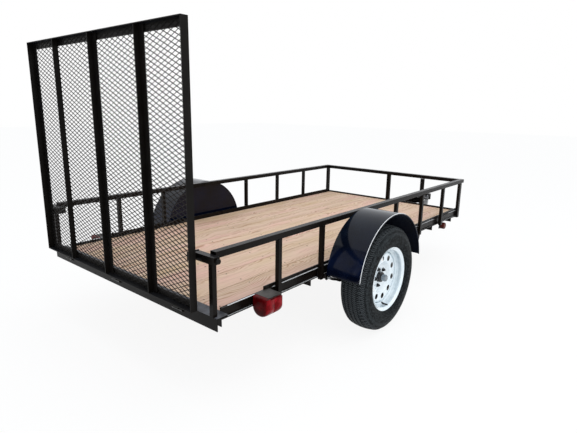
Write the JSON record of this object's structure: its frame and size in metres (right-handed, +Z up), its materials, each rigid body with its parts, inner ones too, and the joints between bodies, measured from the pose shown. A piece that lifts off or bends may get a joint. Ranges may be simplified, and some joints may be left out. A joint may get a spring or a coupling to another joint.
{
  "type": "utility trailer",
  "caption": "Single-axle open utility trailer with a plank deck, tube side rails, round fenders and a tall mesh ramp gate, parked on its tongue jack.",
  "frame": {"origin": "on the ground under the middle of the whole trailer's box", "axes": "+X forward to the coupler, along the length; +Y to the left; +Z up"},
  "size_m": [4.309, 2.052, 1.749],
  "materials": {
    "black_paint": "gloss black paint on welded steel",
    "gloss_fender_paint": "gloss black paint on rolled sheet",
    "gate_paint": "black paint on angle and expanded metal",
    "deck_wood": "pale treated pine planks, dry and unpainted",
    "galvanized_steel": "zinc plated steel",
    "tyre_rubber": "black rubber, matt",
    "white_wheel_paint": "gloss white paint on pressed steel wheels",
    "red_lens": "clear red moulded lens",
    "amber_lens": "clear amber moulded lens",
    "lamp_plastic": "black moulded plastic"
  },
  "bodies": {
    "chassis": {"rear_sill": "black_paint", "side_strips": "black_paint", "front_member": "black_paint", "crossmembers": "black_paint", "deck_boards": "deck_wood", "side_frame_left": "black_paint", "side_frame_right": "black_paint", "top_rail_left": "black_paint", "top_rail_right": "black_paint", "posts_left": "black_paint", "posts_right": "black_paint", "top_rail_front": "black_paint", "post_front": "black_paint", "latch_tubes": "black_paint", "latch_pins": "galvanized_steel", "tongue_leg_left": "black_paint", "tongue_leg_right": "black_paint", "tongue_plate": "black_paint", "jack_body": "black_paint", "jack_crank": "black_paint", "coupler": "black_paint", "coupler_latch": "galvanized_steel", "axle": "black_paint", "leaf_spring_left": "black_paint", "leaf_spring_right": "black_paint", "spring_hangers_left": "black_paint", "spring_hangers_right": "black_paint", "axle_clamp_left": "black_paint", "axle_clamp_right": "black_paint", "fender_left": "gloss_fender_paint", "fender_right": "gloss_fender_paint", "tail_lamp_housings": "lamp_plastic", "tail_lamp_lenses": "red_lens", "marker_lamps": "amber_lens", "marker_brackets": "black_paint", "sill_knuckles": "black_paint"},
    "ramp_gate": {"gate_stiles": "gate_paint", "gate_rails": "gate_paint", "gate_uprights": "gate_paint", "gate_mesh": "gate_paint", "gate_lugs": "gate_paint", "gate_knuckles": "gate_paint"},
    "wheel_left": {"tyre_left": "tyre_rubber", "rim_left": "white_wheel_paint", "hub_left": "galvanized_steel"},
    "wheel_right": {"tyre_right": "tyre_rubber", "rim_right": "white_wheel_paint", "hub_right": "galvanized_steel"},
    "jack_slider": {"jack_leg": "galvanized_steel", "jack_foot": "galvanized_steel"}
  },
  "joints": [
    {"name": "gate_hinge", "type": "hinge", "parent": "chassis", "child": "ramp_gate", "pos_m": [-2.0985, 0, 0.455], "axis": [0, -1, 0], "range_deg": [0, 108]},
    {"name": "wheel_left_spin", "type": "hinge", "parent": "chassis", "child": "wheel_left", "pos_m": [-0.7975, 0.93, 0.344], "axis": [0, 1, 0], "continuous": true},
    {"name": "wheel_right_spin", "type": "hinge", "parent": "chassis", "child": "wheel_right", "pos_m": [-0.7975, -0.93, 0.344], "axis": [0, 1, 0], "continuous": true},
    {"name": "jack_slide", "type": "slide", "parent": "chassis", "child": "jack_slider", "axis": [0, 0, 1], "range_m": [0, 0.2]}
  ]
}
